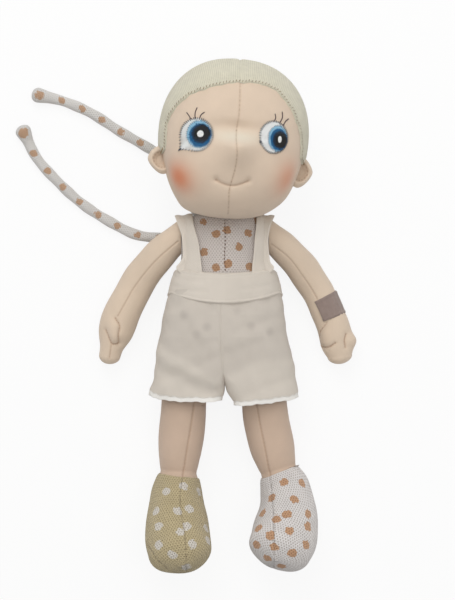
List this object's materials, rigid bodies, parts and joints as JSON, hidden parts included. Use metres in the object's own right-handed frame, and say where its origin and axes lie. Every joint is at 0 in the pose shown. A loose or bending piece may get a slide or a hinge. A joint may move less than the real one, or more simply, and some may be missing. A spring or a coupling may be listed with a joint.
{
  "type": "cloth doll",
  "caption": "Stuffed cloth doll with a knit cap, an embroidered face, spotted socks and cotton dungarees, lying on its back with its head and limbs sewn on to flop.",
  "frame": {"origin": "middle of the back of the waistband, on the surface the doll lies on", "axes": "+Y towards the crown of the head, +Z out of the doll's front and up from the surface, +X to the doll's left"},
  "size_m": [0.2292, 0.3451, 0.0936],
  "materials": {
    "skin_jersey": "matte jersey",
    "filling": "loose fibre",
    "cap_knit": "matte knit",
    "woven_cotton": "matte weave",
    "spotted_knit": "matte knit with tan spots",
    "sage_knit": "matte knit with pale spots",
    "label_tape": "woven tape",
    "eye_thread": "satin thread"
  },
  "bodies": {
    "torso": {"torso_cover": "spotted_knit", "torso_filling": "filling", "waistband": "woven_cotton", "strap_left": "woven_cotton", "strap_right": "woven_cotton", "shorts_left": "woven_cotton", "shorts_right": "woven_cotton", "tie_upper": "spotted_knit", "tie_lower": "spotted_knit"},
    "neck": {"neck_stub": "skin_jersey"},
    "head": {"head_cover": "skin_jersey", "head_filling": "filling", "hair_cap": "cap_knit", "ear_left": "skin_jersey", "ear_right": "skin_jersey", "eye_left": "eye_thread", "eye_right": "eye_thread"},
    "arm_left": {"arm_cover_left": "skin_jersey", "arm_filling_left": "filling", "wrist_label": "label_tape"},
    "arm_right": {"arm_cover_right": "skin_jersey", "arm_filling_right": "filling"},
    "leg_left": {"leg_cover_left": "skin_jersey", "leg_filling_left": "filling", "sock_left": "spotted_knit", "sole_left": "spotted_knit"},
    "leg_right": {"leg_cover_right": "skin_jersey", "leg_filling_right": "filling", "sock_right": "sage_knit", "sole_right": "sage_knit"}
  },
  "joints": [
    {"name": "neck_turn", "type": "hinge", "parent": "torso", "child": "neck", "pos_m": [0, 0.0425, 0.0261], "axis": [0, 1, 0], "range_deg": [-20, 20]},
    {"name": "head_nod", "type": "hinge", "parent": "neck", "child": "head", "pos_m": [0, 0.0425, 0.0261], "axis": [1, 0, 0], "range_deg": [-10, 4]},
    {"name": "arm_left_swing", "type": "hinge", "parent": "torso", "child": "arm_left", "pos_m": [0.0308, 0.033, 0.024], "axis": [-1, 0, 0], "range_deg": [0, 120]},
    {"name": "arm_right_swing", "type": "hinge", "parent": "torso", "child": "arm_right", "pos_m": [-0.0308, 0.033, 0.024], "axis": [-1, 0, 0], "range_deg": [0, 120]},
    {"name": "leg_left_swing", "type": "hinge", "parent": "torso", "child": "leg_left", "pos_m": [0.0255, -0.057, 0.021], "axis": [-1, 0, 0], "range_deg": [-15, 85], "deforming": ["shorts_left"]},
    {"name": "leg_right_swing", "type": "hinge", "parent": "torso", "child": "leg_right", "pos_m": [-0.0255, -0.057, 0.021], "axis": [-1, 0, 0], "range_deg": [-15, 85], "deforming": ["shorts_right"]}
  ]
}
